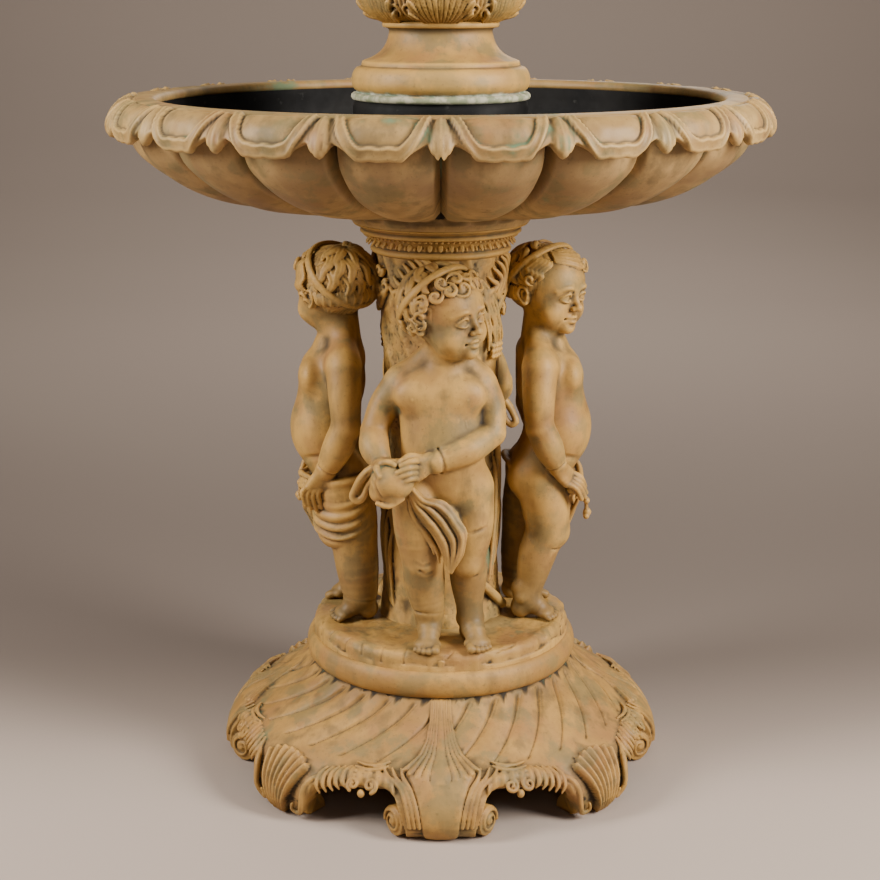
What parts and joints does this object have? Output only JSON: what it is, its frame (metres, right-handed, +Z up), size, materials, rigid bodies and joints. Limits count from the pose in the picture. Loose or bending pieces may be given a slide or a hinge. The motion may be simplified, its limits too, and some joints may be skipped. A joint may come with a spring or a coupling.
{
  "type": "garden fountain",
  "caption": "Standing garden fountain: footed base, tree-trunk column ringed by putti, lobed round basin and a turned stem with a bud spout.",
  "frame": {"origin": "on the floor, on the fountain's vertical axis", "axes": "+Z up along the fountain's axis, -Y towards the front putto's face"},
  "size_m": [1.2, 1.2, 1.7306],
  "materials": {
    "base_bronze": "cast bronze with a satin tan patina, darker grooves and green verdigris in the recesses",
    "column_bronze": "cast bronze bark and rock, stippled, brown patina with green in the hollows",
    "figure_bronze": "cast bronze with a smooth satin honey-tan patina",
    "basin_bronze": "cast bronze with a tan patina, verdigris on the rim and a near-black inside"
  },
  "bodies": {
    "root": {"footed_base": "base_bronze", "rock_and_trunk": "column_bronze", "putto_front": "figure_bronze", "putto_right": "figure_bronze", "putto_back": "figure_bronze", "putto_left": "figure_bronze", "basin": "basin_bronze", "stem": "basin_bronze"}
  },
  "joints": []
}
